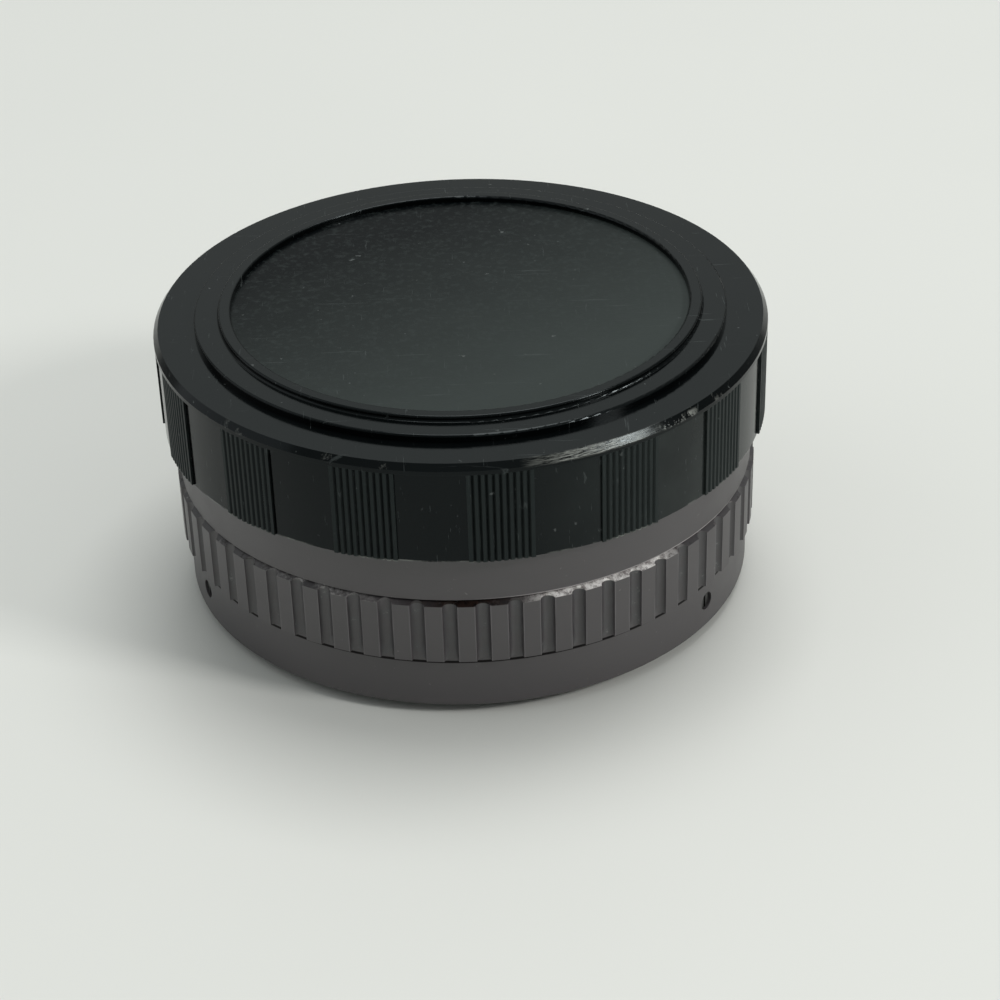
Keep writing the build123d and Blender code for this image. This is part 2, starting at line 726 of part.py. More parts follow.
# Locking ring: fluted lands above a smooth band, bored for the breech ring, with a lip over the shoulder
grub_height = grip_foot_gap + grip_band_height * grub_screw_height_share
flute_depth = grip_land_step - flute_floor_rise
flute_radius = ((flute_width / 2) ** 2 + flute_depth**2) / (2 * flute_depth)
flute_centre = land_radius - flute_depth + flute_radius


def grub_holes(inner, outer):
    """Radial holes for the grub screws, between two radii."""
    for number in range(grub_screw_count):
        outward = Vector(spot(1, grub_screw_angle + number * 360 / grub_screw_count))
        hole_plane = Plane(origin=outward * inner + Vector(0, 0, grub_height), z_dir=outward)
        with BuildSketch(hole_plane) as hole:
            Circle(grub_screw_diameter / 2)
        extrude(hole.sketch, amount=outer - inner, mode=Mode.SUBTRACT)


with BuildPart() as lock_grip_ring:
    with BuildSketch(Plane.XZ):
        with BuildLine():
            Polyline(
                (breech_outer, grip_foot_gap),
                (band_radius - grip_bottom_bevel, grip_foot_gap),
                (band_radius, grip_foot_gap + grip_bottom_bevel),
                (band_radius, flute_bottom),
                (land_radius, flute_bottom),
                (land_radius, bevel_bottom),
                (land_radius - grip_bevel_width, grip_top),
                (hub_neck + running_gap, grip_top),
                (hub_neck + running_gap, lip_bottom),
                (breech_outer, lip_bottom),
                close=True,
            )
        make_face()
    revolve(axis=Axis.Z)
    with BuildSketch(Plane.XY.offset(flute_bottom)):
        with around(flute_centre, flute_angle, flute_count):
            Circle(flute_radius)
    extrude(amount=grip_top + overrun - flute_bottom, mode=Mode.SUBTRACT)
    grub_holes(breech_outer - overrun, band_radius + overrun)
    with BuildSketch(Plane.XZ.offset(-band_radius + index_dot_depth)):
        with Locations((0, grub_height)):
            Circle(index_dot_diameter / 2)
    extrude(amount=-index_dot_depth - overrun, mode=Mode.SUBTRACT)
save(lock_grip_ring.part, "lock_grip_ring")

# Red index dot in the locking ring's smooth band, at the back
with BuildPart() as lock_index_dot:
    with BuildSketch(Plane.XZ.offset(-band_radius + index_dot_depth)):
        with Locations((0, grub_height)):
            Circle(index_dot_diameter / 2)
    extrude(amount=-index_dot_depth - index_dot_proud)
save(lock_index_dot.part, "lock_index_dot")

# Breech ring: the steel liner whose three inward lugs draw the camera's lugs against the seat
breech_bottom = grip_foot_gap + breech_recess
breech_lug_top = seat_height - mount_lug_thickness - breech_lug_play
window_bottom = rear_flange_top + (shoulder_top - rear_flange_top - stop_pin_diameter) / 2 - running_gap
window_height = stop_pin_diameter + 2 * running_gap
window_play_angle = degrees((stop_pin_diameter / 2 + running_gap) / breech_bore)
with BuildPart() as breech_ring:
    with BuildSketch(Plane.XZ):
        section(breech_bore, breech_outer, breech_bottom, lip_bottom)
    revolve(axis=Axis.Z)
    with BuildSketch(Plane.XY.offset(breech_lug_top)):
        sectors(breech_lug_inner, breech_outer, mount_lug_angle, breech_lug_arc_angle, mount_lug_count)
    extrude(amount=-breech_lug_thickness)
    with BuildSketch(Plane.XY.offset(window_bottom)):
        sector(
            breech_bore - overrun,
            breech_outer + overrun,
            stop_pin_angle - lock_turn_angle - window_play_angle,
            lock_turn_angle + 2 * window_play_angle,
        )
    extrude(amount=window_height, mode=Mode.SUBTRACT)
    grub_holes(breech_bore - overrun, breech_outer + overrun)
save(breech_ring.part, "breech_ring")

# Grub screws that lock the grip ring to the breech ring
grub_screws = []
screw_length = band_radius - grub_screw_sink - breech_bore
for number in range(grub_screw_count):
    angle = grub_screw_angle + number * 360 / grub_screw_count
    outward = Vector(spot(1, angle))
    start = outward * breech_bore + Vector(0, 0, grub_height)
    screw_plane = Plane(origin=start, x_dir=Vector(0, 0, 1), z_dir=outward)
    with BuildPart() as grub_screw:
        with BuildSketch(screw_plane):
            Circle(grub_screw_diameter / 2)
        extrude(amount=screw_length)
        with BuildSketch(screw_plane.offset(screw_length)):
            Rectangle(grub_screw_diameter, screw_slot_width)
        extrude(amount=-screw_slot_depth, mode=Mode.SUBTRACT)
    grub_screws.append(grub_screw.part)
save(Compound(children=grub_screws), "ring_grub_screws")

# Stop pin in the hub's shoulder, which runs in the breech ring's window
pin_outward = Vector(spot(1, stop_pin_angle))
pin_start = pin_outward * hub_shoulder + Vector(0, 0, window_bottom + window_height / 2)
with BuildPart() as lock_stop_pin:
    with BuildSketch(Plane(origin=pin_start, z_dir=pin_outward)):
        Circle(stop_pin_diameter / 2)
    extrude(amount=stop_pin_reach)
save(lock_stop_pin.part, "lock_stop_pin")

# Front cap: stepped top, skirt with ribbed and smooth panels, inner sleeve with three bayonet lugs
boss_inner = (throat_radius + neck_radius - cap_boss_width) / 2
boss_outer = boss_inner + cap_boss_width
panel_pitch_angle = 360 / cap_panel_count
panel_span_angle = panel_pitch_angle * cap_panel_share
groove_patch_angle = (cap_groove_count - 1) * cap_groove_angle
first_groove_angle = cap_panel_angle + (panel_pitch_angle - groove_patch_angle) / 2
with BuildPart() as front_cap:
    with BuildSketch(Plane.XZ) as cap_section:
        with BuildLine():
            Polyline(
                (0, cap_disc_bottom),
                (throat_radius - cap_boss_width, cap_disc_bottom),
                (throat_radius - cap_boss_width / 2, cap_plate_bottom),
                (boss_inner, cap_plate_bottom),
                (boss_inner, mount_seat),
                (boss_outer, mount_seat),
                (boss_outer, cap_plate_bottom),
                (cap_sleeve_inner, cap_plate_bottom),
                (cap_sleeve_inner, cap_lug_bottom),
                (cap_sleeve_outer, cap_lug_bottom),
                (cap_sleeve_outer, cap_plate_bottom),
                (cap_skirt_inner, cap_plate_bottom),
                (cap_skirt_inner, cap_skirt_bottom),
                (cap_radius, cap_skirt_bottom),
                (cap_radius, cap_plate_top - cap_bevel_height),
                (cap_radius - cap_bevel_width, cap_plate_top),
                (cap_step_radius, cap_plate_top),
                (cap_step_radius, cap_step_top),
                (cap_rim_radius, cap_step_top),
                (cap_rim_radius, cap_rim_top),
                (cap_rim_radius - cap_rim_width, cap_rim_top),
                (cap_rim_radius - cap_rim_width, cap_disc_top),
                (0, cap_disc_top),
                close=True,
            )
        make_face()
        top_corners = cap_section.vertices().filter_by_position(Axis.Y, cap_step_top, cap_rim_top)
        fillet(
            top_corners.filter_by_position(Axis.X, cap_rim_radius - cap_rim_width, cap_step_radius),
            cap_edge_fillet,
        )
    revolve(axis=Axis.Z)
    with BuildSketch(Plane.XY.offset(cap_skirt_bottom)):
        sectors(
            cap_radius - cap_panel_recess,
            cap_radius + overrun,
            cap_panel_angle,
            panel_span_angle,
            cap_panel_count,
        )
        for number in range(cap_groove_count):
            with around(cap_radius, first_groove_angle + number * cap_groove_angle, cap_panel_count):
                RegularPolygon(cap_groove_depth, cap_groove_corners)
    extrude(amount=cap_lip_bottom - cap_skirt_bottom, mode=Mode.SUBTRACT)
    with BuildSketch(Plane.XY.offset(cap_lug_bottom)):
        sectors(
            neck_radius + running_gap,
            cap_sleeve_outer,
            mount_lug_angle + mount_pitch_angle / 2,
            cap_lug_arc_angle,
            mount_lug_count,
        )
    extrude(amount=cap_lug_thickness)
save(front_cap.part, "front_cap")
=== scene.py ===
import math

import bpy
from mathutils import Matrix, Vector

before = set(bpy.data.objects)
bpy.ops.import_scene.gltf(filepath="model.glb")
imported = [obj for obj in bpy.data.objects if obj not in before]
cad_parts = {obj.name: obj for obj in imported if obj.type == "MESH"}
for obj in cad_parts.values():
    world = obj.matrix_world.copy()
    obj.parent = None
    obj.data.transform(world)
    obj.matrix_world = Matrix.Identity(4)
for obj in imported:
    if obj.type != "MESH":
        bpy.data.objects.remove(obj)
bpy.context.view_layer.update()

print("frame loaded:", len(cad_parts), "nodes")

# Camera, fitted to the rings of the photograph
view = {
    "focal": 89.49,  # mm
    "sensor": 36,  # mm
    "distance": 0.264594,  # m, from the axis at aimHeight
    "aimHeight": 0.0308,
    "elevation": 27.68,  # degrees above the table
    "roll": 2.20,
    "yaw": 0.74,
    "pitch": 4.48,
    "nearest": 0.01,  # m, where the camera begins to see
}


def addCamera():
    elevation = math.radians(view["elevation"])
    right = Vector((1, 0, 0))
    up = Vector((0, math.sin(elevation), math.cos(elevation)))
    back = Vector((0, -math.cos(elevation), math.sin(elevation)))
    level = Matrix((right, up, back))
    roll = Matrix.Rotation(math.radians(view["roll"]), 3, "Z")
    pitch = Matrix.Rotation(math.radians(view["pitch"]), 3, "X")
    yaw = Matrix.Rotation(math.radians(view["yaw"]), 3, "Y")
    turn = (roll @ pitch @ yaw @ level).transposed().to_quaternion()
    place = back * view["distance"] + Vector((0, 0, view["aimHeight"]))
    camera = bpy.data.objects.new("camera", bpy.data.cameras.new("camera"))
    camera.matrix_world = Matrix.LocRotScale(place, turn, None)
    camera.data.lens = view["focal"]
    camera.data.sensor_width = view["sensor"]
    camera.data.clip_start = view["nearest"]
    bpy.context.scene.collection.objects.link(camera)
    bpy.context.scene.camera = camera
    print("camera:", view["focal"], "mm")


# Building blocks of the materials
usual = (0.3, 0.7)  # most of a noise lies between these values


class Shader:
    def __init__(self, owner, body, coords):  # owner is a material or a world
        owner.use_nodes = True
        self.owner = owner
        self.tree = owner.node_tree
        self.body = self.tree.nodes[body]
        self.coords = self.node("ShaderNodeTexCoord").outputs[coords]

    def link(self, source, socket):
        if hasattr(source, "is_output"):
            self.tree.links.new(source, socket)
        else:
            socket.default_value = source

    def node(self, kind, inputs=None, **settings):
        made = self.tree.nodes.new(kind)
        for name, value in settings.items():
            setattr(made, name, value)
        for name, value in (inputs or {}).items():
            self.link(value, made.inputs[name])
        return made

    def set(self, **values):
        for name, value in values.items():
            self.link(value, self.body.inputs[name.replace("_", " ")])

    def math(self, operation, first, second=0.0, clamp=False):
        inputs = {0: first, 1: second}
        return self.node("ShaderNodeMath", inputs, operation=operation, use_clamp=clamp).outputs[0]

    def both(self, first, second):  # where both masks are, or a mask made weaker by a number
        return self.math("MULTIPLY", first, second)

    def either(self, first, second):
        return self.math("MAXIMUM", first, second)

    def vector(self, operation, first, second=(0, 0, 0)):
        return self.node("ShaderNodeVectorMath", {0: first, 1: second}, operation=operation)

    def span(self, value, low, high, lowOut=0.0, highOut=1.0, blend="LINEAR"):
        inputs = {"Value": value, "From Min": low, "From Max": high, "To Min": lowOut, "To Max": highOut}
        made = self.node("ShaderNodeMapRange", inputs, clamp=True, interpolation_type=blend)
        return made.outputs["Result"]

    def band(self, value, low, high, soft):  # 1 between the two values
        rise = self.span(value, low - soft, low + soft)
        return self.both(rise, self.span(value, high + soft, high - soft))

    def zone(self, radius, height, place):  # fades in over a pair of radii and a pair of heights
        return self.both(self.span(radius, *place["radii"]), self.span(height, *place["heights"]))

    def noise(self, scale, detail=4.0, roughness=0.55, stretch=None, distortion=0.0):
        place = self.coords
        if stretch:
            place = self.vector("MULTIPLY", place, stretch).outputs[0]
        inputs = {"Vector": place, "Scale": scale, "Detail": detail, "Roughness": roughness}
        inputs["Distortion"] = distortion
        return self.node("ShaderNodeTexNoise", inputs).outputs["Fac"]

    def streaks(self, angle, height, along, across):  # noise drawn out round the axis
        turned = {0: self.both(angle, along), 1: self.both(height, across)}
        place = self.node("ShaderNodeCombineXYZ", turned).outputs[0]
        inputs = {"Vector": place, "Scale": 1.0, "Detail": 6.0, "Roughness": 0.65}
        return self.node("ShaderNodeTexNoise", inputs).outputs["Fac"]

    def marks(self, look):  # a noise's high parts, between the look's limits
        return self.span(self.noise(**look["noise"]), *look["limits"])

    def mix(self, amount, first, second):
        made = self.node("ShaderNodeMix", {0: amount}, data_type="RGBA")
        self.link(first, made.inputs["A"])
        self.link(second, made.inputs["B"])
        return made.outputs["Result"]

    def paint(self, base, mask, look):  # the look's colour over the base, as strong as it says
        if "amount" in look:
            mask = self.both(mask, look["amount"])
        return self.mix(mask, base, look["colour"])

    def bump(self, height, strength, distance, normal=None):
        inputs = {"Height": height, "Strength": strength, "Distance": distance}
        if normal:
            inputs["Normal"] = normal
        return self.node("ShaderNodeBump", inputs).outputs["Normal"]

    def cylinder(self):  # radius, degrees round the axis, height
        parts = self.node("ShaderNodeSeparateXYZ", {0: self.coords}).outputs
        flat = self.node("ShaderNodeCombineXYZ", {0: parts[0], 1: parts[1]}).outputs[0]
        radius = self.vector("LENGTH", flat).outputs["Value"]
        angle = self.math("ARCTAN2", parts[1], parts[0])
        return radius, self.both(angle, math.degrees(1)), parts[2]


def newMaterial(name):
    return Shader(bpy.data.materials.new(name), "Principled BSDF", "Object")


# Cap: black plastic, matt on its disc and glossy elsewhere, pale where edges are worn.
# Radii and heights are in metres. A pair says where a zone begins and where it is full, and three
# numbers are a band's two ends and its softness. Limits are a noise's values where marks begin and
# are full, then how strong they are at each, if that isn't 0 and 1.
capLook = {
    "plastic": ((0.0009, 0.0013, 0.0015, 1), (0.0018, 0.0026, 0.0028, 1)),
    "roughness": (0.11, 0.19),
    "ribRoughness": 0.5,
    "wearRoughness": 0.15,  # added where it is scratched or worn
    "refraction": 1.27,
    "sheenTint": (0.85, 0.96, 1.0, 1),
    "mottle": {"scale": 160.0, "detail": 6.0},
    "grain": {"scale": 3000.0, "detail": 3.0},
    "grainBump": (0.2, 0.00001),  # strength and depth
    "disc": {"radii": (0.0243, 0.0242), "heights": (0.03145, 0.03165, 0.00005)},
    "discRoughness": 0.32,
    "discSpecular": (0.5, 0.24),  # elsewhere, and on the disc
    # painted sheen on the disc: lighter towards the front right, where the lamps light it
    "discSheen": {
        "towards": (0.57, -0.82, 0),  # the side of the disc that is painted lighter, as sheen from the lamps
        "reach": 0.018,
        "ragged": 0.0015,
        "colours": ((0.0008, 0.0014, 0.0018, 1), (0.031, 0.038, 0.036, 1)),
    },
    "leather": {
        "noise": {"scale": 1500.0, "detail": 4.0, "roughness": 0.6},
        "limits": (0.5, 0.72, 0.0, 0.4),
        "colour": (0.034, 0.042, 0.041, 1),
        "bump": (0.35, 0.00003),
    },
    "skirt": {"radii": (0.0319, 0.0321), "heights": (0.0298, 0.0296)},
    # painted sheen: the skirt is lighter on its side towards the window lamp
    "skirtSheen": {
        "angles": (-70, -25, 14),  # from, to and softness, in degrees round the axis
        "noise": {"scale": 130.0, "detail": 7.0, "roughness": 0.6},
        "limits": (0.35, 0.65, 0.55, 1.0),
        "colour": (0.019, 0.023, 0.022, 1),
    },
    "ribs": {"radii": (0.03227, 0.0323), "heights": (0.02975, 0.02965)},
    "ribDust": {
        "noise": {"scale": 500.0, "detail": 8.0, "roughness": 0.7},
        "limits": (0.45, 0.75),
        "colour": (0.022, 0.030, 0.028, 1),
        "amount": 0.25,
    },
    "groove": {"radii": (0.03246, 0.03238), "colour": (0.026, 0.034, 0.033, 1), "amount": 0.15},
    # painted highlight on the ribs' ridge tops
    "ridgeHighlight": {"radii": (0.03243, 0.03247), "colour": (0.015, 0.020, 0.0195, 1), "amount": 0.8},
    # painted highlight: pale glints drawn along the ribs
    "ribGlints": {
        "drawn": (3.5, 160.0),  # turns of the noise round the axis and along it
        "limits": (0.60, 0.70),
        "colour": (0.055, 0.068, 0.065, 1),
        "amount": 0.4,
    },
    "scratchesAcross": {
        "noise": {"scale": 90.0, "detail": 9.0, "stretch": (1, 26, 4), "distortion": 0.4},
        "limits": (0.665, 0.70),
    },
    "scratchesAlong": {
        "noise": {"scale": 120.0, "detail": 9.0, "stretch": (30, 2, 5), "distortion": 0.3},
        "limits": (0.67, 0.705),
    },
    "scratches": {"colour": (0.07, 0.08, 0.08, 1), "amount": 0.4},
    "dust": {
        "noise": {"scale": 1100.0, "detail": 2.0},
        "limits": (0.73, 0.78),
        "colour": (0.11, 0.12, 0.12, 1),
        "amount": 0.6,
    },
    "chamfer": {"radii": (0.0318, 0.0321), "heights": (0.02995, 0.03015)},
    "rubbed": {"angles": (-76, -58, 5), "drawn": (0.35, 9000.0), "limits": (0.42, 0.62)},
    "chips": {"scale": 420.0, "detail": 9.0, "roughness": 0.75},
    "nicked": {"angles": (-54, -46, 2), "radii": (0.0321, 0.03225), "limits": (0.52, 0.58)},
    "thinWear": {"limits": (0.60, 0.72), "amount": 0.35},
    "burrs": {
        "heights": (0.01986, 0.01976),
        "noise": {"scale": 260.0, "detail": 8.0},
        "limits": (0.46, 0.60),
        "amount": 0.7,
    },
    "worn": {"colour": (0.30, 0.31, 0.29, 1), "bump": (0.2, 0.00002)},
}


def capPlastic():
    look = capLook
    shader = newMaterial("cap_plastic")
    radius, angle, height = shader.cylinder()
    mottle = shader.noise(**look["mottle"])
    onDisc = shader.span(radius, *look["disc"]["radii"])
    onDisc = shader.both(onDisc, shader.band(height, *look["disc"]["heights"]))
    onRibs = shader.zone(radius, height, look["ribs"])
    base = shader.mix(mottle, *look["plastic"])

    # the disc: painted sheen, lighter towards the front right and fading to the plain dark plastic at the
    # back left
    discSheen = look["discSheen"]
    across = shader.vector("DOT_PRODUCT", shader.coords, discSheen["towards"]).outputs["Value"]
    across = shader.math("ADD", across, shader.span(mottle, *usual, -discSheen["ragged"], discSheen["ragged"]))
    paintedDiscSheen = shader.mix(shader.span(across, -discSheen["reach"], discSheen["reach"]), *discSheen["colours"])
    base = shader.mix(onDisc, base, paintedDiscSheen)

    # the skirt and its ribs
    # painted sheen on the skirt's side towards the window lamp, broken up by a noise
    skirtSheenSide = shader.zone(radius, height, look["skirt"])
    skirtSheenSide = shader.both(skirtSheenSide, shader.band(angle, *look["skirtSheen"]["angles"]))
    base = shader.paint(base, shader.both(skirtSheenSide, shader.marks(look["skirtSheen"])), look["skirtSheen"])
    base = shader.paint(base, shader.both(onRibs, shader.marks(look["ribDust"])), look["ribDust"])
    # a little dust in the rib grooves, and a painted highlight on the ridge tops
    for part in (look["groove"], look["ridgeHighlight"]):
        base = shader.paint(base, shader.both(onRibs, shader.span(radius, *part["radii"])), part)
    # painted highlight: pale glints drawn along the ribs
    streaks = shader.streaks(angle, height, *look["ribGlints"]["drawn"])
    streaks = shader.both(onRibs, shader.span(streaks, *look["ribGlints"]["limits"]))
    base = shader.paint(base, streaks, look["ribGlints"])

    # grain, scratches and dust
    leather = shader.noise(**look["leather"]["noise"])
    grained = shader.both(onDisc, shader.span(leather, *look["leather"]["limits"]))
    base = shader.paint(base, grained, look["leather"])
    scratches = shader.either(shader.marks(look["scratchesAcross"]), shader.marks(look["scratchesAlong"]))
    base = shader.paint(base, scratches, look["scratches"])
    base = shader.paint(base, shader.marks(look["dust"]), look["dust"])

    # wear on the chamfer, and burrs along the skirt's lower edge
    chips = shader.noise(**look["chips"])
    rubbed = shader.span(shader.streaks(angle, height, *look["rubbed"]["drawn"]), *look["rubbed"]["limits"])
    rubbed = shader.both(shader.band(angle, *look["rubbed"]["angles"]), rubbed)
    nicked = shader.span(chips, *look["nicked"]["limits"])
    nicked = shader.both(shader.band(angle, *look["nicked"]["angles"]), nicked)
    nicked = shader.both(nicked, shader.span(radius, *look["nicked"]["radii"]))
    thin = shader.both(shader.span(chips, *look["thinWear"]["limits"]), look["thinWear"]["amount"])
    worn = shader.either(shader.either(rubbed, nicked), thin)
    worn = shader.both(shader.zone(radius, height, look["chamfer"]), worn)
    burrs = shader.both(shader.span(height, *look["burrs"]["heights"]), shader.marks(look["burrs"]))
    worn = shader.either(worn, shader.both(burrs, look["burrs"]["amount"]))
    base = shader.paint(base, worn, look["worn"])

    rough = shader.span(mottle, *usual, *look["roughness"])
    rough = shader.either(rough, shader.both(onDisc, look["discRoughness"]))
    rough = shader.either(rough, shader.both(onRibs, look["ribRoughness"]))
    marked = shader.either(scratches, worn)
    rough = shader.math("ADD", rough, shader.both(marked, look["wearRoughness"]), clamp=True)
    normal = shader.bump(shader.noise(**look["grain"]), *look["grainBump"])
    normal = shader.bump(shader.both(onDisc, leather), *look["leather"]["bump"], normal)
    normal = shader.bump(marked, *look["worn"]["bump"], normal)
    specular = shader.span(onDisc, 0.0, 1.0, *look["discSpecular"])
    shader.set(Base_Color=base, Roughness=rough, Normal=normal, Specular_IOR_Level=specular)
    shader.set(IOR=look["refraction"], Specular_Tint=look["sheenTint"])
    return shader.owner


# Charcoal anodised aluminium, on the barrel and the locking ring
charcoalLook = {
    "colours": ((0.037, 0.032, 0.036, 1), (0.050, 0.044, 0.048, 1)),
    "cloud": {"scale": 140.0, "detail": 5.0},
    "turning": {"scale": 1.0, "detail": 3.0, "stretch": (60, 60, 9000)},
    "turned": {"colour": (0.070, 0.065, 0.069, 1), "amount": 0.2},
    "turningBump": (0.12, 0.00002),
    "specks": {
        "noise": {"scale": 1500.0, "detail": 3.0},
        "limits": (0.71, 0.76),
        "colour": (0.16, 0.155, 0.15, 1),
        "amount": 0.5,
    },
    "roughness": (0.40, 0.50),
    "refraction": 1.75,  # of the dyed oxide layer
}


def charcoalBase(name):
    look = charcoalLook
    shader = newMaterial(name)
    turning = shader.noise(**look["turning"])
    cloud = shader.noise(**look["cloud"])
    specks = shader.marks(look["specks"])
    base = shader.mix(cloud, *look["colours"])
    base = shader.paint(base, turning, look["turned"])
    base = shader.paint(base, specks, look["specks"])
    made = {
        "base": base,
        "specks": specks,
        "rough": shader.span(cloud, *usual, *look["roughness"]),
        "normal": shader.bump(turning, *look["turningBump"]),
    }
    shader.set(IOR=look["refraction"])
    return shader, made


# Locking ring: dirt in its flutes, and a bevel that is bright where it has worn
ringLook = {
    "landRadius": 0.03145,
    "fluteCount": 60,
    "fluteAngle": 1.9,
    "fluteWidth": 0.0015,
    "flutes": {"radii": (0.0307, 0.03127, 0.00004), "heights": (0.0072, 0.0138, 0.00005)},
    "crud": {"scale": 900.0, "detail": 7.0, "roughness": 0.7},
    "thickCrud": {"limits": (0.42, 0.62, 0.0, 0.55), "colour": (0.050, 0.054, 0.058, 1)},
    "paleCrud": {"limits": (0.63, 0.70, 0.0, 0.8), "colour": (0.17, 0.17, 0.17, 1)},
    "bevel": {"heights": (0.01372, 0.01381), "radii": (0.0305, 0.0306)},
    "chips": {"scale": 650.0, "detail": 9.0, "roughness": 0.75},
    "worn": {"angles": (-78, -49, 4), "limits": (0.30, 0.40)},
    "rubbed": {"angles": (-130, -110, 6), "limits": (0.42, 0.60, 0.0, 0.3)},
    "thinWear": {"limits": (0.58, 0.70, 0.0, 0.25)},
    "patches": {"noise": {"scale": 1300.0, "detail": 8.0, "roughness": 0.75}, "limits": (0.40, 0.55)},
    "wornColours": ((0.28, 0.25, 0.25, 1), (1.0, 0.97, 0.96, 1)),
    "wornSmoother": 0.06,
    "wornMetallic": 0.15,
    "wornBump": (0.5, 0.00006),
    "lumps": {"scale": 700.0, "detail": 8.0, "roughness": 0.75},
    "dirt": {"angles": (-100, -82, 6), "limits": (0.34, 0.42)},
    "thinDirt": {"limits": (0.54, 0.62, 0.0, 0.5)},
    "dirtColours": ((0.003, 0.002, 0.002, 1), (0.018, 0.010, 0.008, 1)),
    # painted shade: a dark line on the band just under the lands' overhang
    "shadeUnderLands": {
        "heights": (0.0065, 0.0068, 0.00004),
        "radii": (0.03085, 0.0308),
        "colour": (0.004, 0.003, 0.003, 1),
        "amount": 0.9,
    },
    "landEdges": {
        "width": 0.16,  # degrees
        "soft": 0.08,
        "radii": (0.03133, 0.03139),
        "heights": (0.0139, 0.0137),
        "noise": {"scale": 300.0, "detail": 6.0, "stretch": (1, 1, 0.4)},
        "limits": (0.40, 0.60, 0.15, 0.9),
        "colour": (0.120, 0.112, 0.120, 1),
    },
    "mattSpecular": (0.5, 0.04),  # elsewhere, and in the dirt and the painted shade under the lands
}


def anodisedRing():
    look = ringLook
    shader, made = charcoalBase("charcoal_ring")
    radius, angle, height = shader.cylinder()
    base = made["base"]

    # dirt in the flutes
    inFlute = shader.band(radius, *look["flutes"]["radii"])
    inFlute = shader.both(inFlute, shader.band(height, *look["flutes"]["heights"]))
    crud = shader.noise(**look["crud"])
    for part in (look["thickCrud"], look["paleCrud"]):
        base = shader.paint(base, shader.both(inFlute, shader.span(crud, *part["limits"])), part)

    # the bevel: worn metal, then dirt over it
    onBevel = shader.span(height, *look["bevel"]["heights"])
    onBevel = shader.both(onBevel, shader.span(radius, *look["bevel"]["radii"]))
    chips = shader.noise(**look["chips"])
    patches = shader.marks(look["patches"])
    worn, rubbed = (
        shader.both(shader.band(angle, *part["angles"]), shader.span(chips, *part["limits"]))
        for part in (look["worn"], look["rubbed"])
    )
    worn = shader.either(shader.either(worn, rubbed), shader.span(chips, *look["thinWear"]["limits"]))
    worn = shader.both(onBevel, worn)
    base = shader.mix(worn, base, shader.mix(patches, *look["wornColours"]))
    lumps = shader.noise(**look["lumps"])
    dirt = shader.span(lumps, *look["dirt"]["limits"])
    dirt = shader.both(shader.band(angle, *look["dirt"]["angles"]), dirt)
    dirt = shader.either(dirt, shader.span(lumps, *look["thinDirt"]["limits"]))
    dirt = shader.both(onBevel, dirt)
    base = shader.mix(dirt, base, shader.mix(patches, *look["dirtColours"]))

    # painted shade: a dark line under the lands, where their overhang shades the band; and the lands' rubbed
    # edges
    under = look["shadeUnderLands"]
    paintedShadeUnderLand = shader.both(shader.band(height, *under["heights"]), shader.span(radius, *under["radii"]))
    base = shader.paint(base, paintedShadeUnderLand, under)
    edges = look["landEdges"]
    halfPitch = 180 / look["fluteCount"]
    fromFlute = shader.math("PINGPONG", shader.math("SUBTRACT", angle, look["fluteAngle"]), halfPitch)
    edgeFrom = math.degrees(look["fluteWidth"] / 2 / look["landRadius"])
    onEdge = shader.band(fromFlute, edgeFrom, edgeFrom + edges["width"], edges["soft"])
    onEdge = shader.both(onEdge, shader.zone(radius, height, edges))
    base = shader.paint(base, shader.both(onEdge, shader.marks(edges)), edges)

    rough = shader.math("SUBTRACT", made["rough"], shader.both(worn, look["wornSmoother"]))
    normal = shader.bump(shader.both(chips, worn), *look["wornBump"], made["normal"])
    specular = shader.span(shader.either(dirt, paintedShadeUnderLand), 0.0, 1.0, *look["mattSpecular"])
    shader.set(Base_Color=base, Roughness=rough, Metallic=shader.both(worn, look["wornMetallic"]))
    shader.set(Normal=normal, Specular_IOR_Level=specular)
    return shader.owner


# Outer barrel: its lower edge is worn bright at the front
barrelLook = {
    "edge": {"heights": (0.01447, 0.01442), "radii": (0.03093, 0.03099)},
    "chips": {"scale": 500.0, "detail": 8.0, "roughness": 0.7},
    "worn": {"angles": (-82, -30, 8), "limits": (0.30, 0.45)},
    "thinWear": {"limits": (0.58, 0.66, 0.0, 0.5)},
    "line": {"colour": (0.40, 0.37, 0.38, 1)},
    "lineMetallic": 0.4,
    "speckBump": (0.2, 0.00002),
}


def anodisedBarrel():
    look = barrelLook
    shader, made = charcoalBase("charcoal_barrel")
    radius, angle, height = shader.cylinder()
    onEdge = shader.span(height, *look["edge"]["heights"])
    onEdge = shader.both(onEdge, shader.span(radius, *look["edge"]["radii"]))
    chips = shader.noise(**look["chips"])
    worn = shader.span(chips, *look["worn"]["limits"])
    worn = shader.both(shader.band(angle, *look["worn"]["angles"]), worn)
    line = shader.both(onEdge, shader.either(worn, shader.span(chips, *look["thinWear"]["limits"])))
    shader.set(Base_Color=shader.paint(made["base"], line, look["line"]), Roughness=made["rough"])
    shader.set(Metallic=shader.both(line, look["lineMetallic"]))
    shader.set(Normal=shader.bump(made["specks"], *look["speckBump"], made["normal"]))
    return shader.owner


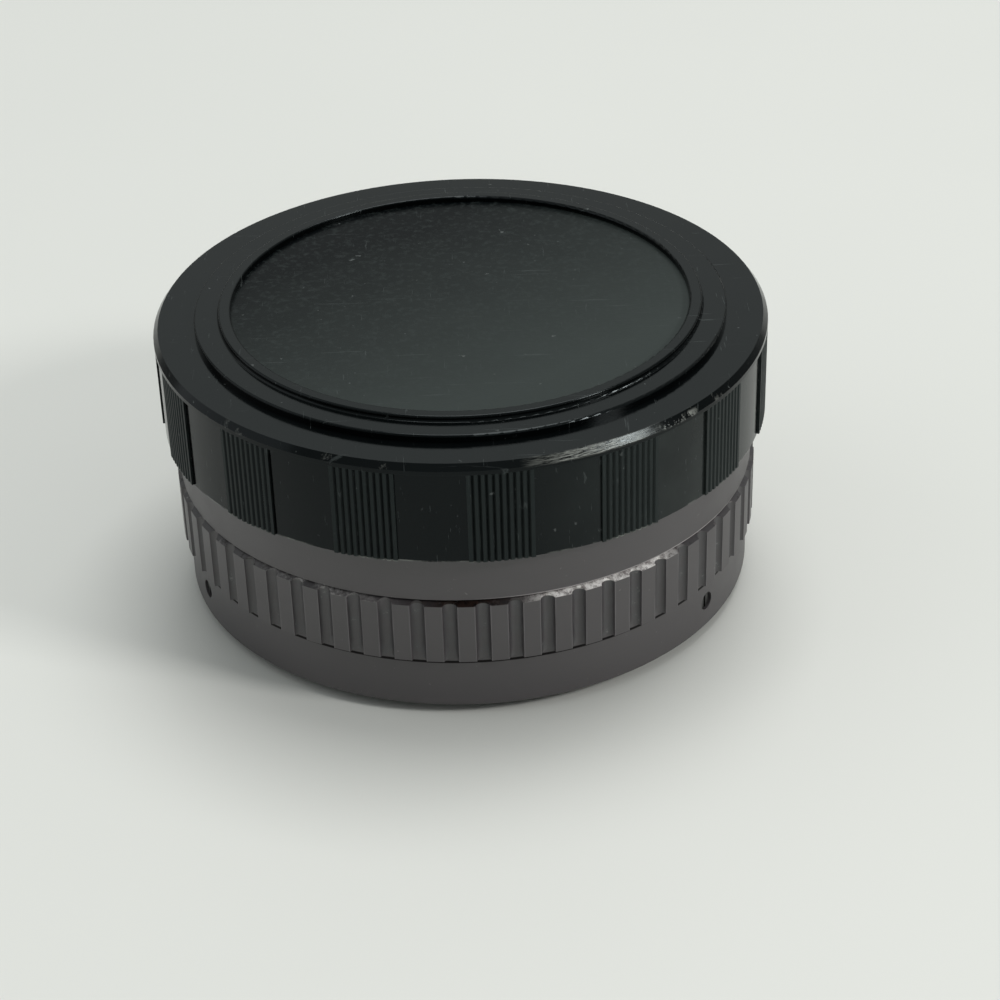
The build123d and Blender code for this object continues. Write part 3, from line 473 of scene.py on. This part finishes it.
# Turned and drawn metal
metalLook = {
    "satin_chrome": {
        "nodes": ("front_mount_ring", "rear_mount_ring", "breech_ring"),
        "colours": ((0.42, 0.42, 0.41, 1), (0.56, 0.56, 0.55, 1)),
        "rough": 0.28,
    },
    "screw_steel": {
        "nodes": (
            "front_mount_screws", "rear_mount_screws", "rear_locating_pin", "lock_stop_pin",
            "rear_signal_pin", "retainer_clip", "spring_anchor_pins",
        ),
        "colours": ((0.30, 0.30, 0.30, 1), (0.45, 0.45, 0.44, 1)),
        "rough": 0.3,
        "lay": (900, 60, 60),
    },
    "black_anodised": {
        "nodes": (
            "main_hub", "inner_frame", "rear_spacer", "front_spacer", "retaining_ring", "coupling_retainer",
        ),
        "colours": ((0.012, 0.012, 0.013, 1), (0.022, 0.022, 0.023, 1)),
        "rough": 0.42,
        "metallic": 0.3,
    },
    "lever_brass": {
        "nodes": ("stop_down_ring", "aperture_signal_ring"),
        "colours": ((0.16, 0.12, 0.06, 1), (0.40, 0.31, 0.15, 1)),
        "rough": 0.36,
    },
    "spring_wire": {
        "nodes": ("stop_down_spring",),
        "colours": ((0.25, 0.25, 0.26, 1), (0.4, 0.4, 0.4, 1)),
        "rough": 0.3,
    },
    "signal_spring_wire": {
        "nodes": ("aperture_signal_spring",),
        "colours": ((0.25, 0.25, 0.26, 1), (0.4, 0.4, 0.4, 1)),
        "rough": 0.3,
    },
}
metalFinish = {
    "lay": (80, 80, 6000),  # how the turning's noise is stretched
    "turning": {"scale": 1.0, "detail": 4.0},
    "turningBump": (0.15, 0.00002),
    "cloud": {"scale": 120.0, "detail": 5.0},
    "stains": {"noise": {"scale": 400.0, "detail": 6.0}, "limits": (0.6, 0.75), "amount": 0.4},
    "smoother": 0.05,
    "rougher": 0.08,
}


def turnedMetal(name):
    look, finish = metalLook[name], metalFinish
    shader = newMaterial(name)
    turning = shader.noise(stretch=look.get("lay", finish["lay"]), **finish["turning"])
    cloud = shader.noise(**finish["cloud"])
    stained = shader.both(shader.marks(finish["stains"]), finish["stains"]["amount"])
    base = shader.mix(stained, shader.mix(cloud, *look["colours"]), look["colours"][0])
    rough = shader.span(cloud, *usual, look["rough"] - finish["smoother"], look["rough"] + finish["rougher"])
    shader.set(Base_Color=base, Roughness=rough, Metallic=look.get("metallic", 1.0))
    shader.set(Normal=shader.bump(turning, *finish["turningBump"]))
    return shader.owner


# Black paint on the guide plate and the small screws
paintLook = {
    "guide_plate_paint": {"nodes": ("front_guide_plate",), "level": 0.018, "rough": 0.6},
    "black_screws": {"nodes": ("guide_plate_screws", "ring_grub_screws"), "level": 0.012, "rough": 0.35},
}
paintFinish = {
    "cloud": {"scale": 220.0, "detail": 5.0},
    "cloudDepth": 0.25,  # share of the level by which it is darker or lighter
    "grain": {"scale": 2400.0, "detail": 2.0},
    "grainBump": (0.25, 0.00002),
    "specks": {
        "noise": {"scale": 1500.0, "detail": 2.0},
        "limits": (0.72, 0.78),
        "colour": (0.14, 0.14, 0.14, 1),
        "amount": 0.5,
    },
    "smoother": 0.06,
    "rougher": 0.08,
}


def grey(level):
    return (level, level, level, 1)


def blackPaint(name):
    look, finish = paintLook[name], paintFinish
    shader = newMaterial(name)
    cloud = shader.noise(**finish["cloud"])
    darker, lighter = 1 - finish["cloudDepth"], 1 + finish["cloudDepth"]
    base = shader.mix(cloud, grey(look["level"] * darker), grey(look["level"] * lighter))
    base = shader.paint(base, shader.marks(finish["specks"]), finish["specks"])
    rough = shader.span(cloud, *usual, look["rough"] - finish["smoother"], look["rough"] + finish["rougher"])
    normal = shader.bump(shader.noise(**finish["grain"]), *finish["grainBump"])
    shader.set(Base_Color=base, Roughness=rough, Normal=normal)
    return shader.owner


# Red enamel in the two index dots
enamelLook = {
    "nodes": ("front_index_dot", "lock_index_dot"),
    "colours": ((0.42, 0.015, 0.012, 1), (0.60, 0.03, 0.022, 1)),
    "cloud": {"scale": 900.0, "detail": 3.0},
    "bump": (0.15, 0.00002),
    "roughness": (0.25, 0.4),
}


def redEnamel():
    look = enamelLook
    shader = newMaterial("red_enamel")
    cloud = shader.noise(**look["cloud"])
    rough = shader.span(cloud, *usual, *look["roughness"])
    normal = shader.bump(cloud, *look["bump"])
    shader.set(Base_Color=shader.mix(cloud, *look["colours"]), Roughness=rough, Normal=normal)
    return shader.owner


# Glass with its coating, and a little dust
glassLook = {
    "nodes": ("rear_element", "doublet_rear_element", "doublet_front_element", "front_element"),
    "tints": ((0.93, 0.97, 0.95, 1), (0.97, 0.95, 0.99, 1)),
    "tintScale": 60.0,
    "dust": {"noise": {"scale": 1800.0, "detail": 2.0}, "limits": (0.74, 0.80)},
    "roughness": (0.02, 0.3),  # clean, and under dust
    "refraction": 1.5,
    "coat": 0.6,
    "coatTint": (0.93, 0.94, 1.0, 1),
}


def coatedGlass():
    look = glassLook
    shader = newMaterial("coated_glass")
    tint = shader.mix(shader.noise(look["tintScale"]), *look["tints"])
    rough = shader.span(shader.marks(look["dust"]), 0.0, 1.0, *look["roughness"])
    shader.set(Base_Color=tint, Roughness=rough, Transmission_Weight=1.0, IOR=look["refraction"])
    shader.set(Coat_Weight=look["coat"], Coat_Tint=look["coatTint"])
    return shader.owner


def dress(material, *nodes):
    for name in nodes:
        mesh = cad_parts[name].data
        mesh.materials.clear()
        mesh.materials.append(material)


def dressFrame():
    dress(capPlastic(), "front_cap")
    dress(anodisedRing(), "lock_grip_ring")
    dress(anodisedBarrel(), "outer_barrel")
    for name, look in metalLook.items():
        dress(turnedMetal(name), *look["nodes"])
    for name, look in paintLook.items():
        dress(blackPaint(name), *look["nodes"])
    dress(redEnamel(), *enamelLook["nodes"])
    dress(coatedGlass(), *glassLook["nodes"])
    print("materials:", len(bpy.data.materials))


# Table
tableLook = {
    "halfWidth": 1.2,  # m
    "colours": ((0.68, 0.69, 0.665, 1), (0.72, 0.725, 0.70, 1)),
    "cloud": {"scale": 6.0, "detail": 3.0},
    "roughness": (0.5, 0.6),
}


def addTable():
    half = tableLook["halfWidth"]
    corners = [(-half, -half, 0), (half, -half, 0), (half, half, 0), (-half, half, 0)]
    mesh = bpy.data.meshes.new("table")
    mesh.from_pydata(corners, [], [(0, 1, 2, 3)])
    table = bpy.data.objects.new("table", mesh)
    bpy.context.scene.collection.objects.link(table)
    shader = newMaterial("table_paint")
    cloud = shader.noise(**tableLook["cloud"])
    rough = shader.span(cloud, *usual, *tableLook["roughness"])
    shader.set(Base_Color=shader.mix(cloud, *tableLook["colours"]), Roughness=rough)
    mesh.materials.append(shader.owner)
    print("table:", 2 * half, "m wide")


# Lamps, each turned towards the object's foot. Sizes and places in metres, powers in watts
lamps = {
    "window": {"place": (0.80, -0.41, 0.63), "size": 0.2, "power": 4.4, "colour": (1.0, 0.99, 0.96)},
    "ceiling": {"place": (0.12, 0.30, 1.0), "size": 0.6, "power": 5.6, "colour": (1.0, 1.0, 0.98)},
    "fill": {"place": (-0.9, 0.1, 0.5), "size": 0.9, "power": 1.4, "colour": (0.95, 0.98, 1.0)},
}


def addLamps():
    for name, lamp in lamps.items():
        light = bpy.data.lights.new(name, "AREA")
        light.shape = "RECTANGLE"
        light.size = light.size_y = lamp["size"]
        light.energy = lamp["power"]
        light.color = lamp["colour"]
        holder = bpy.data.objects.new(name, light)
        holder.location = lamp["place"]
        holder.rotation_euler = (-Vector(lamp["place"])).to_track_quat("-Z", "Y").to_euler()
        bpy.context.scene.collection.objects.link(holder)
    print("lamps:", len(lamps))


# Room, by direction: heights are from 0 at the horizon to 1 straight up
room = {
    "walls": (0.20, 0.21, 0.205, 1),
    "ceiling": (0.52, 0.545, 0.535, 1),
    "ceilingHeights": (0.35, 0.9),
    "backdrop": (0.84, 0.90, 0.88, 1),
    "backdropHeights": (0.20, 0.55),
    "backdropDepths": (0.62, 0.82),  # how far a direction points to the back
    "strength": 0.9,
}


def addRoom():
    shader = Shader(bpy.data.worlds.new("room"), "Background", "Generated")
    direction = shader.node("ShaderNodeSeparateXYZ", {0: shader.coords}).outputs
    high = shader.span(direction[2], *room["ceilingHeights"], blend="SMOOTHSTEP")
    colour = shader.mix(high, room["walls"], room["ceiling"])
    behind = shader.span(direction[1], *room["backdropDepths"], blend="SMOOTHSTEP")
    behind = shader.both(behind, shader.span(direction[2], *room["backdropHeights"]))
    shader.set(Color=shader.mix(behind, colour, room["backdrop"]), Strength=room["strength"])
    bpy.context.scene.world = shader.owner
    print("room:", shader.owner.name)


addCamera()
dressFrame()
addTable()
addLamps()
addRoom()
bpy.context.scene.view_settings.view_transform = "Standard"
